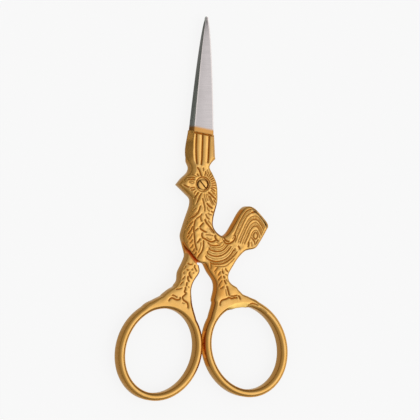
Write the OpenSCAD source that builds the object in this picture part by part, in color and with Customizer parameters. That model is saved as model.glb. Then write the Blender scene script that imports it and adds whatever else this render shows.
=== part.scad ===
// Rooster embroidery scissors, closed and lying on their back.
// The front half and the back half cross at one pivot screw, which is the bird's eye.
// Origin: on the pivot axis, in the plane that the scissors lie on.
// +Z points out of the decorated front, +Y towards the blade tips, +X towards the tail.

/* [Thickness] */
// Thickness of the closed scissors at the bird and at the finger rings
body_t = 4.4; // [3.4:0.1:6]
// Running gap between the lapped faces of the two halves
lap_gap = 0.1; // [0.05:0.05:0.3]
// Sideways gap between a full-thickness part of one half and the lapped part of the other
step_gap = 0.4; // [0.3:0.1:0.8]

/* [Blades] */
// Length of the blades from the collar to the tip
blade_len = 34.4; // [25:0.5:50]
// Width of a blade where it leaves the collar
blade_w = 7.6; // [5.5:0.1:8.2]
// Thickness of one blade at the collar
blade_t = 1.7; // [1:0.1:2]
// Thickness of one blade at the tip
tip_t = 0.45; // [0.3:0.05:0.8]
// Width of the narrow facet between the back of a blade and its ridge
spine_facet = 1.3; // [0.6:0.1:2]
// How far the tip lies to the tail side of the pivot
tip_x = 1.75; // [0:0.05:3]
// How far the rear blade stands out past the front blade's edge
blade_reveal = 0.25; // [0.1:0.05:0.5]

/* [Collar] */
// Height of the collar's upper end above the pivot
collar_y = 16.1; // [13:0.1:20]
// How far the collar's upper end slopes down across its width
collar_slope = 1.4; // [0:0.1:2]
// Chamfer along both sides of the collar
collar_chamfer = 1.1; // [0.4:0.1:1.4]
// Number of flutes cut along the collar
flute_count = 3; // [1:1:5]
// Radius of the cutter that makes a flute
flute_r = 0.5; // [0.2:0.05:0.7]
// Depth of a flute
flute_depth = 0.35; // [0.1:0.05:0.6]

/* [Finger rings] */
// Long inside diameter of a finger ring
ring_long = 25.6; // [22:0.1:30]
// Short inside diameter of a finger ring
ring_short = 21.4; // [18:0.1:25]
// Width of the band round a finger ring, seen from the front
ring_band = 2.25; // [1.6:0.05:3]
// Rounding of the band's four edges
ring_round = 0.6; // [0.2:0.05:0.8]
// Lean of the rings' long axes towards the middle
ring_tilt = 22; // [0:1:30]
// Gap between the rings when the scissors are closed
ring_gap = 0.6; // [0.3:0.1:1.5]
// Where the rings meet, measured to the tail side of the pivot
ring_meet_x = 0.45; // [-0.5:0.05:1.5]
// Distance from the pivot down to the top of the left ring
ring_drop = 34.5; // [33.5:0.1:36]
// How much higher the right ring sits
ring_stagger = 0.5; // [0:0.1:1]

/* [Pivot screw] */
// Diameter of the screw's shank
screw_d = 2; // [1.5:0.1:2.4]
// Radial running clearance of the shank in the front half
screw_fit = 0.05; // [0.02:0.01:0.1]
// Diameter of the screw's head
head_d = 3; // [2.7:0.1:3.8]
// Thickness of the screw's head
head_t = 0.9; // [0.6:0.1:1.2]
// Gap between the head and the wall of its recess
head_gap = 0.35; // [0.1:0.05:0.5]
// Depth of the head's face below the front of the bird
head_sink = 0.1; // [0:0.05:0.3]
// Gap between the underside of the head and the floor of its recess
seat_gap = 0.05; // [0.02:0.01:0.1]
// Width of the screwdriver slot
slot_w = 0.45; // [0.3:0.05:0.8]
// Depth of the screwdriver slot
slot_depth = 0.4; // [0.2:0.05:0.5]
// Angle of the slot from the +X direction
slot_angle = -54; // [-90:1:90]

/* [Hidden] */
$fn = 48;

// Upper corners of the collar
COLLAR_LEFT = [-3.9, collar_y];
COLLAR_RIGHT = [4.2, collar_y - collar_slope];
// Corners of the collar where it turns in to the neck
SHOULDER_LEFT = [-4.75, 8.2];
SHOULDER_RIGHT = [4.5, 7.6];

// Left edge of the head, neck and chest, from the collar down; the doubled point is the beak
LEFT_EDGE = [
    SHOULDER_LEFT, [-4.4, 6.8], [-3.5, 5.2], [-3.9, 3.6], [-5.9, 1.7], [-7.4, -0.1],
    [-7.4, -0.1], [-4.5, -2.8], [-3.1, -4.3], [-3.1, -6.2], [-4.1, -9.1], [-5.3, -12.5],
    [-6, -15.3]
];

// Right edge of the neck and head, up to the collar
RIGHT_EDGE = [
    [3.6, -9.5], [4.6, -5.8], [4.8, -3.2], [4.5, 0.3], [3.2, 3.2], [2.3, 5], [2.9, 6.4],
    SHOULDER_RIGHT
];

// Belly of the front half and the inner edge of the right leg, down to the ring
BELLY_EDGE = [
    [-5.6, -17.3], [-4.4, -19.2], [-1.6, -22.5], [-0.3, -23.3], [1, -23.6], [2.4, -26.1],
    [4.1, -28.6], [4.5, -31], [3.8, -34.4], [3.8, -36]
];

// Outer edge of the right leg, then the rump, tail and saddle, up from the ring
TAIL_EDGE = [
    [15.4, -33.9], [12.6, -32.4], [10.4, -30.5], [8.6, -28.9], [8.3, -26.9], [9.6, -24.5],
    [11.4, -21.8], [13.6, -19.8], [16.2, -19.2], [17.6, -18.1], [20.4, -13.6],
    [20.9, -12.3], [20.2, -10.9], [17.8, -8.2], [16, -6.8], [14.2, -6.6], [12.4, -8.2],
    [10.2, -11.8], [8.4, -14.5], [6.6, -15.4], [4.6, -14.3], [3.4, -12.2]
];

// Outer edge of the left leg, from the chest down to the ring
LEFT_LEG_OUTER = [
    [-5.4, -18], [-4.9, -19.8], [-4.7, -21.3], [-5.6, -23.5], [-6.9, -26.1],
    [-7.3, -28.8], [-9.2, -30.5], [-11.2, -32.1], [-14.3, -34]
];

// Inner edge of the left leg and of the hidden shank, up from the ring to the neck
LEFT_LEG_INNER = [
    [-2.8, -36.9], [-3.4, -33.6], [-3.5, -31.2], [-2.7, -28.8], [-0.9, -26], [-1.1, -23.4],
    [0.6, -20.6], [2.4, -16.8], [3.4, -12.8]
];

// Angles on a ring where the two edges of a leg run into the band, and how deep they go
FOOT_OUTER = 43;
FOOT_INNER = 140;
FOOT_SINK = 0.25;
// Gap below the belly that the photograph shows above the left leg
BELLY_GAP = 1;
// Exponents that round the blades' edges and ridges towards the tip
EDGE_POWER = 0.6;
RIDGE_POWER = 0.4;
// Width left at the very tip, and thickness of the cutting edge
TIP_W = 0.2;
EDGE_T = 0.08;
// How far a blade is let into its collar
ROOT_LEN = 2;
// Slice that a hull is stretched over, and how far a cutter runs past the face it opens
SLICE = 0.01;
SPARE = 1;
// How far the collar's chamfers run down past its shoulders
CHAMFER_RUN = 1.6;
// Steps in a spline span, along a foot, round a ring and along a blade
SPAN_STEPS = 3;
FOOT_STEPS = 8;
RING_STEPS = 60;
BLADE_STEPS = 8;
GOLD = "goldenrod";
STEEL = "silver";

// Heights of the two lapped faces that pass over each other
lap_back_z = (body_t - lap_gap) / 2;
lap_front_z = (body_t + lap_gap) / 2;

// Half the long and short outside diameters of a ring, then its half width and half height
// once it leans
ring_a = ring_long / 2 + ring_band;
ring_b = ring_short / 2 + ring_band;
ring_half_w = norm([ring_b * cos(ring_tilt), ring_a * sin(ring_tilt)]);
ring_half_h = norm([ring_b * sin(ring_tilt), ring_a * cos(ring_tilt)]);

// Heights of the screw's head and of the floor that it runs on
head_face_z = body_t - head_sink;
head_under_z = head_face_z - head_t;
seat_z = head_under_z - seat_gap;

// Centre of a ring: side is -1 for the left ring and 1 for the right one
function ring_centre(side) = [
    ring_meet_x + side * (ring_gap / 2 + ring_half_w),
    -ring_drop - ring_half_h + (side > 0 ? ring_stagger : 0)
];

// Point of the leaning oval that lies inset inside the right ring's outer edge, about its
// centre; angle 0 is the side away from the middle and 90 is the top
function oval(angle, inset) =
    let (u = (ring_b - inset) * cos(angle), v = (ring_a - inset) * sin(angle))
    [u * cos(ring_tilt) - v * sin(ring_tilt), u * sin(ring_tilt) + v * cos(ring_tilt)];

// The same point on either ring, in its place
function ring_point(side, angle, inset) =
    let (p = oval(angle, inset))
    ring_centre(side) + [side * p.x, p.y];

// Arc along the middle of a ring's band between two angles
function foot_arc(side, from, to) =
    [for (k = [0 : FOOT_STEPS])
        ring_point(side, from + (to - from) * k / FOOT_STEPS, ring_band / 2)];

// Smooth curve through the points of an open edge; a point given twice is a sharp corner
function smooth(points) =
    let (last = len(points) - 1)
    concat(
        [for (i = [0 : last - 1])
            let (
                a = points[max(i - 1, 0)],
                b = points[i],
                c = points[i + 1],
                d = points[min(i + 2, last)]
            )
            if (b != c) for (k = [0 : SPAN_STEPS - 1])
                let (t = k / SPAN_STEPS)
                b + ((c - a) * t + (2 * a - 5 * b + 4 * c - d) * t * t
                    + (3 * b - a - 3 * c + d) * t * t * t) / 2],
        [points[last]]
    );

// Width, ridge offset and thickness of a blade at a share f of its length
function width_at(f) = max(TIP_W, blade_w * pow(1 - f, EDGE_POWER));
function facet_at(f) = min(width_at(f) / 2, spine_facet * pow(1 - f, RIDGE_POWER));
function thickness_at(f) = tip_t + (blade_t - tip_t) * (1 - f);

// Outline of the whole bird with its right leg, as the front shows it
module bird_outline() {
    polygon(concat(
        [COLLAR_LEFT],
        smooth(concat(LEFT_EDGE, BELLY_EDGE, [ring_point(1, FOOT_INNER, FOOT_SINK)])),
        foot_arc(1, FOOT_INNER, FOOT_OUTER),
        smooth(concat([ring_point(1, FOOT_OUTER, FOOT_SINK)], TAIL_EDGE, RIGHT_EDGE)),
        [COLLAR_RIGHT]
    ));
}

// Outline of the back half: collar, head, neck, hidden shank and left leg
module shank_outline() {
    polygon(concat(
        [COLLAR_LEFT],
        smooth(concat(LEFT_EDGE, LEFT_LEG_OUTER, [ring_point(-1, FOOT_OUTER, FOOT_SINK)])),
        foot_arc(-1, FOOT_OUTER, FOOT_INNER),
        smooth(concat([ring_point(-1, FOOT_INNER, FOOT_SINK)], LEFT_LEG_INNER, RIGHT_EDGE)),
        [COLLAR_RIGHT]
    ));
}

// Finger ring: a rounded band swept round the leaning oval
module finger_ring(side) {
    corners = [
        [ring_round, ring_round, 180], [ring_band - ring_round, ring_round, 270],
        [ring_band - ring_round, body_t - ring_round, 0], [ring_round, body_t - ring_round, 90]
    ];
    section = [for (c = corners) for (turn = [0 : 45 : 90])
        [c.x, c.y] + ring_round * [cos(c.z + turn), sin(c.z + turn)]];
    n = len(section);
    points = [for (i = [0 : RING_STEPS - 1]) for (s = section)
        let (p = oval(360 * i / RING_STEPS, s.x)) [p.x, p.y, s.y]];
    faces = [for (i = [0 : RING_STEPS - 1]) for (j = [0 : n - 1])
        let (
            here = i * n,
            next = (i + 1) % RING_STEPS * n,
            k = (j + 1) % n
        )
        for (face = [[here + j, next + k, here + k], [here + j, next + j, next + k]]) face];
    centre = ring_centre(side);
    translate([centre.x, centre.y, 0])
        mirror([side < 0 ? 1 : 0, 0, 0])
            polyhedron(points, faces, convexity = 4);
}

// Cross-section of a blade at a share f of its length, standing up from the lapped face
module blade_section(side, f) {
    left = tip_x * f - side * width_at(f) / 2 + (side < 0 ? blade_reveal : 0);
    ridge = left + side * facet_at(f);
    right = left + side * width_at(f);
    polygon([[left, 0], [right, 0], [right, EDGE_T], [ridge, thickness_at(f)]]);
}

// One blade: side is 1 for the front blade and -1 for the rear one, which is turned over
module blade(side) {
    tip_y = collar_y + blade_len;
    translate([0, 0, side > 0 ? lap_front_z : lap_back_z])
        mirror([0, 0, side < 0 ? 1 : 0])
            hull() {
                translate([0, collar_y - collar_slope - ROOT_LEN, 0])
                    rotate([90, 0, 0]) linear_extrude(SLICE) blade_section(side, 0);
                for (k = [0 : BLADE_STEPS])
                    let (f = 1 - pow(1 - k / BLADE_STEPS, 1.5))
                    translate([0, collar_y + f * (tip_y - collar_y), 0])
                        rotate([90, 0, 0]) linear_extrude(SLICE) blade_section(side, f);
            }
}

// What the chamfers and the flutes take off one face of the collar, which lies at z = 0
module collar_cutters() {
    for (edge = [[COLLAR_LEFT, SHOULDER_LEFT, -1], [COLLAR_RIGHT, SHOULDER_RIGHT, 1]]) {
        run = edge[0] - edge[1];
        side = edge[2];
        translate([edge[1].x, edge[1].y, 0])
            rotate([0, 0, atan2(run.y, run.x) - 90])
                rotate([-90, 0, 0])
                    translate([0, 0, -CHAMFER_RUN])
                        linear_extrude(norm(run) + CHAMFER_RUN + SPARE)
                            polygon([
                                [-side * collar_chamfer, 0],
                                [side * SPARE, collar_chamfer + SPARE],
                                [side * SPARE, -SPARE], [-side * collar_chamfer, -SPARE]
                            ]);
    }
    for (k = [1 : flute_count])
        let (
            share = k / (flute_count + 1),
            foot = SHOULDER_LEFT + (SHOULDER_RIGHT - SHOULDER_LEFT) * share,
            top = COLLAR_LEFT + (COLLAR_RIGHT - COLLAR_LEFT) * share,
            run = top - foot
        )
        translate([foot.x, foot.y, flute_r - flute_depth])
            rotate([0, 0, atan2(run.y, run.x) - 90])
                rotate([-90, 0, 0])
                    cylinder(h = norm(run) + SPARE, r = flute_r);
}

// Front blade, bird with its tail, right leg and right finger ring, all one forging
module front_half() {
    color(GOLD) difference() {
        union() {
            translate([0, 0, lap_front_z])
                linear_extrude(body_t - lap_front_z) bird_outline();
            linear_extrude(body_t) difference() {
                bird_outline();
                offset(delta = step_gap) shank_outline();
            }
            finger_ring(1);
        }
        translate([0, 0, body_t]) collar_cutters();
        translate([0, 0, lap_front_z - SPARE])
            cylinder(h = body_t, d = screw_d + 2 * screw_fit);
        translate([0, 0, seat_z])
            cylinder(h = body_t, d = head_d + 2 * head_gap);
    }
    color(STEEL) blade(1);
}

// Rear blade, hidden shank, left leg and left finger ring, all one forging
module back_half() {
    color(GOLD) difference() {
        union() {
            linear_extrude(lap_back_z) shank_outline();
            linear_extrude(body_t) difference() {
                shank_outline();
                offset(delta = BELLY_GAP) bird_outline();
            }
            finger_ring(-1);
        }
        mirror([0, 0, 1]) collar_cutters();
        translate([0, 0, -SPARE]) cylinder(h = body_t, d = screw_d);
    }
    color(STEEL) blade(-1);
}

// Slotted screw: its shank is fixed in the back half, and the front half turns on it
module pivot_screw() {
    color(GOLD) difference() {
        union() {
            cylinder(h = head_under_z, d = screw_d);
            translate([0, 0, head_under_z]) cylinder(h = head_t, d = head_d);
        }
        translate([0, 0, head_face_z - slot_depth])
            rotate([0, 0, slot_angle])
                translate([-head_d, -slot_w / 2, 0])
                    cube([2 * head_d, slot_w, slot_depth + SPARE]);
    }
}

front_half();
back_half();
pivot_screw();
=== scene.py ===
# Rooster embroidery scissors: a gold-plated cast bird on bright steel blades.
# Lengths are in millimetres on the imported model's axes, and meshes are made in metres.
import math
from collections import namedtuple

import bmesh
import bpy
import numpy as np
from mathutils import Matrix, Vector
from mathutils.geometry import delaunay_2d_cdt
from mathutils.kdtree import KDTree


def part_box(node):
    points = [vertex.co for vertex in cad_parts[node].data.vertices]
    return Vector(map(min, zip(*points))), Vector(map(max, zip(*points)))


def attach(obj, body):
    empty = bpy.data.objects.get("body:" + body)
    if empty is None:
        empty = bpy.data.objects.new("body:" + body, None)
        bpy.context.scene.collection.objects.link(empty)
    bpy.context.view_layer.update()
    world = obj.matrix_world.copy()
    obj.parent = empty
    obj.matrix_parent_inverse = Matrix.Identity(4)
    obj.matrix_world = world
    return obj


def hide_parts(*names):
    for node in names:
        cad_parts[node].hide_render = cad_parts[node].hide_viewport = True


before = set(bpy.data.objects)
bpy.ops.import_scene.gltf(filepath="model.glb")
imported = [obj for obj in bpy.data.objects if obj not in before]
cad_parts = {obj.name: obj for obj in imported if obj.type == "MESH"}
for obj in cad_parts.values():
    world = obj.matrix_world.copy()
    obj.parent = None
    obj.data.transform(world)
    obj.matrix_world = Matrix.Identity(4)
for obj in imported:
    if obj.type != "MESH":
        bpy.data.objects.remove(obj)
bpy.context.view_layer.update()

MM = 0.001

# Heights of the lapped plates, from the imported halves, and where the halves are sliced for
# their outlines
FACE_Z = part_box("front_half")[1].z / MM
LAP_GAP = 0.1
LAP_FRONT_Z = (FACE_Z + LAP_GAP) / 2
LAP_BACK_Z = (FACE_Z - LAP_GAP) / 2
FRONT_SLICE_Z = 3.0
REAR_SLICE_Z = 1.3

# Upper corners of the collar, and the height where its bevels start
COLLAR_LEFT = np.array([-3.9, 16.1])
COLLAR_RIGHT = np.array([4.2, 14.7])
COLLAR_FOOT_Y = 6.9

# Screw, its bore and its recess; the bevel holds distances in from the rim and below the face
HEAD_R = 1.5
HEAD_FACE_Z = 4.3
HEAD_UNDER_Z = 3.4
HEAD_BEVEL = [(0, 0.34), (0.04, 0.2), (0.13, 0.08), (0.26, 0.02), (0.5, 0)]
RECESS_R = 1.85
SEAT_Z = 3.35
BORE_R = 1.05
SHANK_R = 1.0
SLOT_W = 0.45
SLOT_DEPTH = 0.4
SLOT_ANGLE = -51
CIRCLE_STEPS = 96

# Blades: places along y, then widths and thicknesses at the foot and at the tip. The flat face
# lies a little inside the lap plane, so that it never shares a plane with the gold.
BLADE_TIP_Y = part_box("front_half")[1].y / MM - 0.45
BLADE_FOOT_Y = COLLAR_LEFT[1]
BLADE_ROOT_Y = 13.6
BLADE_W = 7.5
BLADE_T = 1.7
TIP_T = 0.45
TIP_W = 0.9
TIP_ROUND = 0.7
TIP_BLUNT = 0.12
TIP_X = 1.75
FACET_W = 1.3
REVEAL = 0.38
SUNK = 0.02
EDGE_T = 0.08
HOLLOW = 0.05
RIDGE_FLAT = 0.3
BLADE_STEPS = 90

# Powers that shape the blade towards its tip: width, facet and spacing of the sections
WIDTH_POWER = 0.6
FACET_POWER = 0.4
STATION_POWER = 1.6

# Spacing of the points on edges, in the relief, on plain faces, on the lap and along curves
EDGE_STEP = 0.11
RELIEF_STEP = 0.115
PLAIN_STEP = 0.3
LAP_STEP = 0.8
CURVE_STEP = 0.05

# Turns in radians that leave a corner in a curve: in an outline, and in a groove
SHARP_TURN = 0.6
NO_CORNER = 2

# Rows of points inside the edges: how far in they reach, as shares of that, and what is kept
ROW_REACH = 0.36
ROW_PLACES = (0.05, 0.14, 0.27, 0.45, 0.7, 1.0)
NOT_CROSSED = 0.93
LEAST_INSET = 0.004
ROW_OFFSET = 0.013

# Rows of points beside the grooves, as shares of their half width, and least gaps between points
ROW_SHARE = 0.6
ROW_GAP = 0.06
ROW_CLEAR = 0.05
CLEAR_REACH = 0.07
GRID_CLEAR = 0.4
LAP_CLEAR = 0.3

# Distances below which points count as the same, as on a straight line or as on an outline,
# and the largest size of a loop that is left out because it is the bore's
SAME_POINT = 0.003
STRAIGHT = 0.004
ON_EDGE = 0.002
OFF_LOOP = 0.005
OFF_OUTLINE = 0.02
KNOT_NEAR = 0.05
COLLAR_SLACK = 0.01
COLLAR_NEAR = 0.03
BORE_LOOP = 2.5 * BORE_R

# Least divisor, how close points are merged, and how many points are worked on at a time
TINY = 1e-12
MERGE = 1e-7
CHUNK = 3000

# Grooves of the relief: depth and half width, then how far the metal beside them is pillowed
# down and over what distance
DEEP = (0.23, 0.16, 0.13, 0.4)
MEDIUM = (0.17, 0.14, 0.1, 0.36)
FINE = (0.11, 0.12, 0.06, 0.28)
SHALLOW = (0.08, 0.11, 0.04, 0.22)
RAY = (0.14, 0.12, 0.07, 0.24)
TICK = (0.09, 0.095, 0.03, 0.18)
WING_ROW = (0.21, 0.145, 0.06, 0.25)
TAIL_ROW = (0.16, 0.13, 0.04, 0.2)
FLUTE = (0.27, 0.19, 0.22, 0.5)
COLLAR_LINE = (0.34, 0.2, 0.05, 0.3)

# Fading of the grooves at their ends, and the deepest drop
FADE_WIDTHS = 2.5
FADE_FROM = 0.25
DROP_LIMIT = 2.0

# Slow waves of the bird's surface: a share and two crossing waves, each with its rates along x
# and y and its phase; then where they fade out, at the feet and at the collar
WAVES = [(1.0, (1.9, 1.3, 0), (-1.1, 1.5, 0.6)), (0.8, (3.1, -1.2, 1.0), (0.9, 2.4, 0))]
WAVE_DEPTH = 0.09
BIRD_FOOT_Y = (-32, -29.5)
BIRD_TOP_Y = (4.5, 6.5)

# Rounding of the edges: width, height and doming in mm, then 0 for round and 1 for a flat bevel
Edge = namedtuple("Edge", "points closed rounding")
DOME_REACH = 2.2
BLEND_POINTS = 11
PLAIN_EDGE = (0.55, 0.45, 0.1, 0.5)
RING_EDGE = (0.8, 0.8, 0.05, 0.6)
RING_TOP_EDGE = (1.15, 0.5, 0.0, 0.9)
COLLAR_EDGE = (1.35, 1.95, 0.0, 1.0)
COLLAR_LOWER_EDGE = (1.75, 1.95, 0.0, 1.0)
COLLAR_END = (0.15, 0.15, 0.0, 1.0)
HEAD_LEFT_EDGE = (1.3, 1.05, 0.25, 0.4)
NECK_LEFT_EDGE = (1.5, 1.35, 0.1, 0.5)
NECK_EDGE = (0.5, 0.4, 0.2, 0.7)
CHEST_EDGE = (1.0, 0.8, 0.35, 0.3)
BELLY_EDGE = (0.4, 0.35, 0.2, 0.4)
LEG_EDGE = (0.5, 0.45, 0.18, 0.4)
TAIL_EDGE = (0.5, 0.42, 0.05, 0.9)
TAIL_LEFT_EDGE = (0.65, 0.6, 0.1, 0.4)
UNDER_EDGE = (0.55, 0.5, 0.0, 0.0)
STEP_EDGE = (0.4, 0.4, 0.0, 0.0)
LEG_END_EDGE = (0.3, 0.3, 0.0, 0.0)
RECESS_EDGE = (0.16, 0.14, 0.0, 0.0)
NO_EDGE = (0.0, 0.0, 0.0, 0.0)

# Where each rounding of the decorated face is used, as left, right, low and high; a later one
# goes before an earlier one. The tail's left edge also lies above a slanting line.
FAR = 99
EDGE_REGIONS = [
    (RING_EDGE, -FAR, FAR, -FAR, -34),
    (RING_TOP_EDGE, 8.4, 14.6, -37, -35.2),
    (LEG_EDGE, -FAR, FAR, -34, -23),
    (CHEST_EDGE, -FAR, -1, -23, -5),
    (BELLY_EDGE, -FAR, -0.5, -24, -17.5),
    (NECK_EDGE, -1, 5, -14, 6.5),
    (NECK_LEFT_EDGE, -FAR, -1, 3.5, 7.2),
    (HEAD_LEFT_EDGE, -FAR, -1, -5, 4),
    (TAIL_EDGE, 5, FAR, -23, FAR),
    (COLLAR_EDGE, -FAR, FAR, 7.2, FAR),
    (COLLAR_LOWER_EDGE, -FAR, 0, 7.2, 12.5),
]
TAIL_LEFT_BOX = (6, 15.5, -15.6, FAR)
TAIL_LEFT_LINE = (1.45, -32)

# Engraved lines, each a depth and half width with listed points on the front face
HEAD_LINES = [
    (DEEP, [(-1.9, 5.2), (-1.25, 4.5), (-0.8, 3.5), (-0.45, 2.6), (-0.2, 2.3)]),
    (MEDIUM, [(0.1, 5.1), (0.15, 4.5), (0.12, 3.95)]),
    (MEDIUM, [(0.9, 4.1), (0.78, 3.2), (0.5, 2.55)]),
    (MEDIUM, [(-1.9, 3.3), (-1.55, 2.75), (-1.3, 2.4)]),
    (FINE, [(1.5, 4.6), (1.35, 3.6), (1.0, 2.8)]),
    (FINE, [(-3.4, 3.3), (-2.9, 2.8), (-2.2, 2.5), (-1.8, 2.3)]),
    (MEDIUM, [(-4.8, 2.15), (-3.6, 2.15), (-2.4, 2.0)]),
    (MEDIUM, [(-4.9, 1.5), (-3.6, 1.55), (-2.4, 1.45)]),
    (FINE, [(-4.5, 0.95), (-3.6, 1.0), (-2.7, 0.6)]),
    (FINE, [(-4.5, 0.85), (-3.6, 0.4), (-2.7, 0.55)]),
    (MEDIUM, [(-6.1, 1.0), (-5.5, 0.95)]),
    (DEEP, [(-6.2, 0.0), (-5.4, -0.4), (-4.8, -0.75), (-4.15, -0.75)]),
    (MEDIUM, [(-4.2, -1.15), (-3.3, -0.9), (-2.4, -0.85)]),
    (MEDIUM, [(-4.0, -1.7), (-3.1, -1.6), (-2.3, -1.15)]),
    (MEDIUM, [(-2.9, -2.9), (-2.5, -2.3), (-2.1, -1.8)]),
    (DEEP, [(-1.35, -2.2), (-1.8, -2.9), (-2.3, -3.6), (-2.6, -4.4)]),
    (DEEP, [(-0.35, -2.5), (-0.9, -3.4), (-1.25, -4.3), (-1.8, -5.3), (-2.1, -6.0)]),
    (MEDIUM, [(-0.15, -3.9), (0.1, -4.8), (0.4, -6.0), (0.62, -7.2), (0.5, -8.1)]),
    (FINE, [(0.95, -2.6), (1.15, -3.8), (1.6, -4.9)]),
    (DEEP, [(1.6, -2.2), (2.3, -2.75), (3.1, -3.5), (4.3, -4.5)]),
    (MEDIUM, [(1.95, -3.3), (2.7, -4.6), (3.2, -5.4), (3.7, -6.1)]),
    (MEDIUM, [(3.4, -4.4), (3.8, -5.1), (4.2, -5.5)]),
    (FINE, [(1.35, -2.6), (1.9, -3.9), (2.6, -5.3), (3.2, -6.3)]),
    (FINE, [(0.25, -2.7), (0.6, -4.0), (1.0, -5.2)]),
    (FINE, [(2.8, -2.3), (3.6, -2.9), (4.3, -3.5)]),
    (FINE, [(-1.0, -3.0), (-1.5, -4.0), (-1.9, -5.0), (-2.3, -6.2)]),
    (FINE, [(1.3, -6.4), (1.5, -7.4), (2.2, -8.0)]),
    (DEEP, [(1.1, -5.4), (2.0, -6.4), (3.1, -7.1)]),
    (MEDIUM, [(2.3, -0.9), (3.1, -1.4), (4.0, -2.1)]),
    (FINE, [(2.4, -1.6), (3.2, -2.2), (4.1, -3.0)]),
]
EYE_CENTRE = (0.05, 0.12)
EYE_R = 2.13
EYE_TURNS = range(0, 361, 12)
RAY_ANGLES = range(-14, 68, 11)
RAY_REACH = (2.6, 4.4)

NECK_LINES = [
    (MEDIUM, [(2.5, -7.8), (3.1, -8.2), (3.7, -8.3)]),
    (FINE, [(1.4, -8.4), (2.0, -8.8), (3.0, -9.0)]),
    (MEDIUM, [(0.85, -8.6), (1.1, -9.3), (1.6, -10.0), (2.15, -10.4)]),
    (DEEP, [(0.6, -10.2), (0.9, -11.0), (1.6, -11.9), (2.5, -12.9), (3.3, -13.9), (3.65, -14.5)]),
    (FINE, [(1.5, -10.6), (2.2, -11.3), (3.0, -12.2)]),
    (FINE, [(1.9, -12.9), (2.6, -13.7), (3.1, -14.3)]),
    (DEEP, [(-0.7, -6.2), (-1.1, -7.4), (-1.7, -8.6), (-2.6, -9.4), (-3.6, -10.0)]),
    (MEDIUM, [(-2.0, -6.9), (-2.6, -7.4), (-3.2, -7.95)]),
    (FINE, [(-1.6, -7.9), (-2.3, -8.6), (-3.4, -9.2)]),
    (MEDIUM, [(-0.2, -8.6), (-0.8, -9.4), (-1.7, -9.9), (-2.2, -10.35)]),
    (MEDIUM, [(-0.65, -9.4), (-0.6, -10.4), (-0.3, -11.0)]),
    (DEEP, [(0.3, -11.3), (-0.3, -11.9), (-0.8, -12.5), (-1.0, -12.8)]),
    (DEEP, [(-2.3, -10.3), (-2.6, -11.5), (-2.85, -13.0), (-2.75, -14.5), (-2.6, -16.0),
            (-2.5, -17.2), (-2.3, -18.2), (-1.9, -19.6)]),
    (MEDIUM, [(-1.4, -12.9), (-2.0, -13.4), (-2.6, -13.9)]),
    (DEEP, [(-1.0, -12.9), (-0.4, -13.4), (0.4, -13.9), (1.3, -14.2)]),
    (FINE, [(0.7, -14.85), (2.0, -14.95), (3.4, -15.2)]),
    (DEEP, [(-0.15, -14.2), (-0.3, -15.2), (0.0, -15.8), (0.8, -16.2), (1.7, -16.75),
            (2.8, -17.05), (3.7, -16.75), (4.2, -16.4)]),
    (FINE, [(1.0, -15.6), (1.9, -16.2), (2.9, -16.2)]),
    (DEEP, [(-0.8, -16.0), (-1.3, -16.8), (-2.0, -17.4)]),
    (FINE, [(-0.7, -17.0), (-0.75, -18.2), (-1.1, -19.3), (-1.5, -20.3)]),
    (DEEP, [(0.15, -16.5), (0.2, -18.0), (0.05, -19.0), (-0.5, -20.2), (-1.2, -21.1),
            (-1.75, -22.0)]),
    (MEDIUM, [(-2.7, -6.0), (-3.1, -6.9), (-3.4, -7.7)]),
    (MEDIUM, [(-3.3, -8.2), (-3.8, -8.8), (-4.3, -9.4)]),
    (DEEP, [(-2.9, -9.4), (-3.6, -9.9), (-4.2, -10.5), (-4.6, -11.0)]),
    (MEDIUM, [(-3.0, -10.9), (-3.6, -11.4), (-4.3, -12.2), (-4.75, -12.9)]),
    (DEEP, [(-3.1, -12.3), (-3.6, -13.3), (-4.2, -14.1), (-4.75, -14.8)]),
    (MEDIUM, [(-4.7, -11.7), (-5.1, -12.3)]),
    (MEDIUM, [(-4.8, -13.1), (-5.3, -13.7)]),
    (MEDIUM, [(-3.2, -14.4), (-3.6, -15.2), (-4.1, -15.9), (-4.6, -16.3)]),
    (MEDIUM, [(-4.3, -15.0), (-4.7, -15.4), (-5.1, -15.9)]),
    (MEDIUM, [(-3.2, -16.2), (-3.7, -17.0), (-4.3, -17.5)]),
    (FINE, [(-4.8, -16.9), (-5.3, -17.3)]),
    (MEDIUM, [(-3.1, -17.7), (-3.5, -18.5), (-4.1, -18.9)]),
    (MEDIUM, [(-2.7, -18.9), (-3.0, -19.7), (-3.5, -20.1)]),
    (MEDIUM, [(-2.1, -19.9), (-2.5, -20.7), (-2.9, -21.1)]),
]

# Rows of wing feathers, matched point by point so that finer rows can lie between them
WING_ROWS = [
    [(2.0, -17.7), (2.3, -18.35), (3.1, -18.7), (4.2, -18.8), (5.2, -18.7), (6.1, -18.3),
     (6.6, -17.7), (6.8, -17.3)],
    [(1.9, -18.5), (2.0, -19.15), (2.9, -19.6), (4.2, -19.9), (5.6, -19.8), (6.8, -19.2),
     (7.6, -18.3), (8.0, -17.7)],
    [(1.4, -19.7), (1.45, -20.3), (2.3, -20.9), (3.6, -21.3), (5.2, -21.25), (6.7, -20.7),
     (8.0, -19.6), (9.0, -18.3)],
    [(0.8, -21.1), (1.15, -21.8), (2.4, -22.5), (4.0, -22.9), (5.7, -22.75), (7.4, -22.1),
     (8.8, -20.9), (10.0, -19.2)],
    [(2.2, -23.0), (2.5, -23.4), (3.3, -23.6), (4.5, -23.7), (6.2, -23.55), (8.0, -22.7),
     (9.6, -21.4), (10.9, -19.9)],
]
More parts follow.
